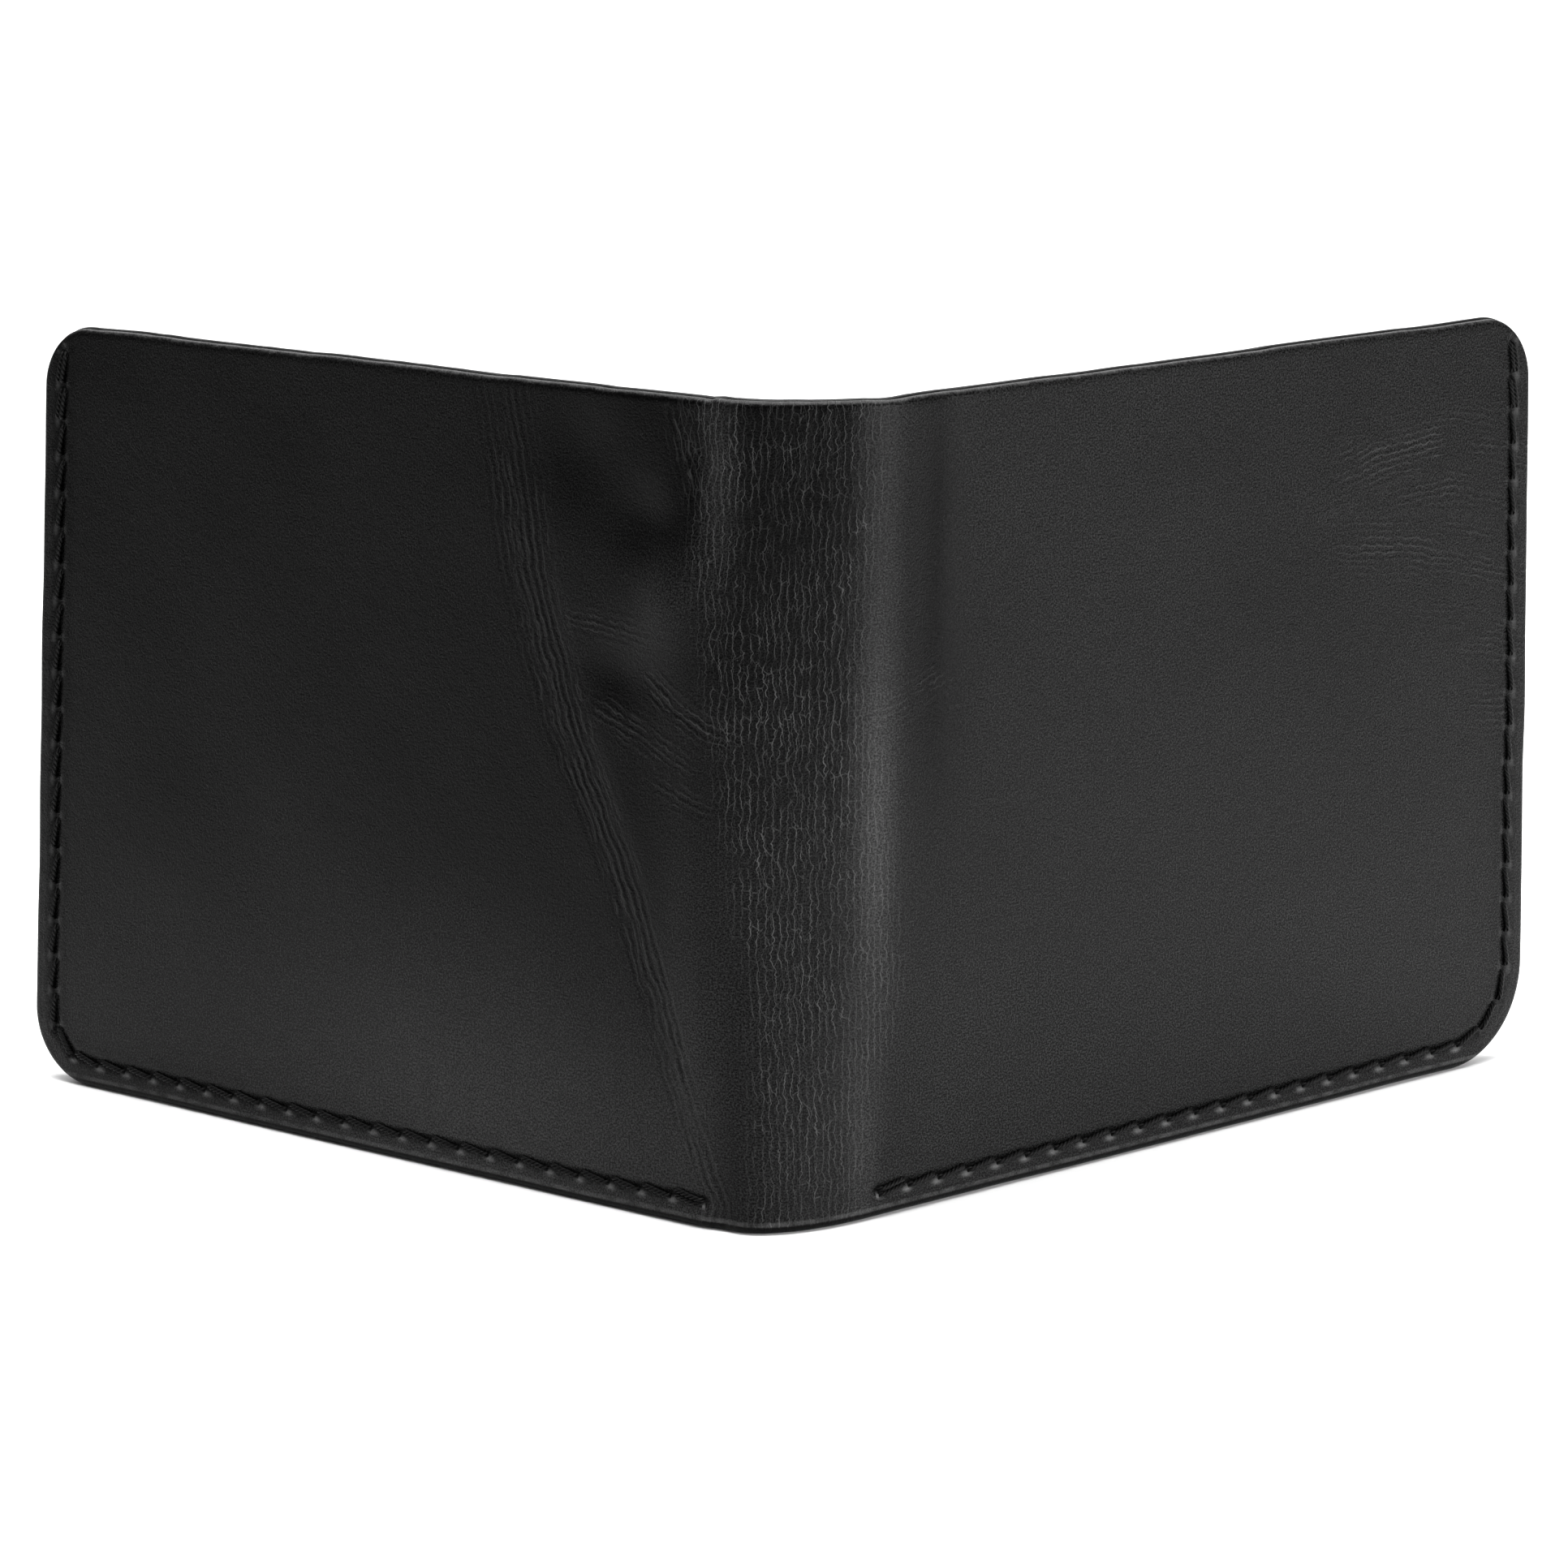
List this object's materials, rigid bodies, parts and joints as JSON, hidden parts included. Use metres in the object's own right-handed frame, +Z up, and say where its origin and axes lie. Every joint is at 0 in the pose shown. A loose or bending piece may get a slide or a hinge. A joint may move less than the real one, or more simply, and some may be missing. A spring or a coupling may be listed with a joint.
{
  "type": "bifold wallet",
  "caption": "Hand-sewn black leather bifold wallet, half open on its edges, with a full-width note compartment and card pockets on each inner side.",
  "frame": {"origin": "on the surface the wallet stands on, under the middle of its box", "axes": "+Z up along the fold lines, -Y towards the spine, +X towards the right cover's free edge"},
  "size_m": [0.1816, 0.0706, 0.092],
  "materials": {
    "shell_leather": "smooth black pull-up leather, waxed, fine pores, burnished edges",
    "lining_leather": "thin black leather, semi-matt",
    "pocket_leather": "thin smooth black leather with creased edges",
    "thread": "waxed black twisted thread"
  },
  "bodies": {
    "spine": {"shell_spine": "shell_leather", "divider_spine": "lining_leather"},
    "left_half": {"shell_left_cover": "shell_leather", "divider_left": "lining_leather", "left_card_backing": "lining_leather", "left_upper_pocket": "pocket_leather", "left_middle_pocket": "pocket_leather", "left_front_pocket": "pocket_leather", "left_perimeter_seam": "thread", "left_inner_seam": "thread", "left_upper_pocket_seam": "thread", "left_middle_pocket_seam": "thread"},
    "right_half": {"shell_right_cover": "shell_leather", "divider_right": "lining_leather", "right_card_backing": "lining_leather", "right_upper_pocket": "pocket_leather", "right_middle_pocket": "pocket_leather", "right_front_pocket": "pocket_leather", "right_perimeter_seam": "thread", "right_inner_seam": "thread", "right_upper_pocket_seam": "thread", "right_middle_pocket_seam": "thread"}
  },
  "joints": [
    {"name": "left_fold", "type": "hinge", "parent": "spine", "child": "left_half", "pos_m": [-0.0075, -0.03204, 0], "axis": [0, 0, -1], "range_deg": [-37, 53]},
    {"name": "right_fold", "type": "hinge", "parent": "spine", "child": "right_half", "pos_m": [0.0075, -0.03204, 0], "axis": [0, 0, 1], "range_deg": [-37, 53]}
  ],
  "couplings": [
    {"joint": "right_fold", "follows": "left_fold", "ratio": 1}
  ]
}
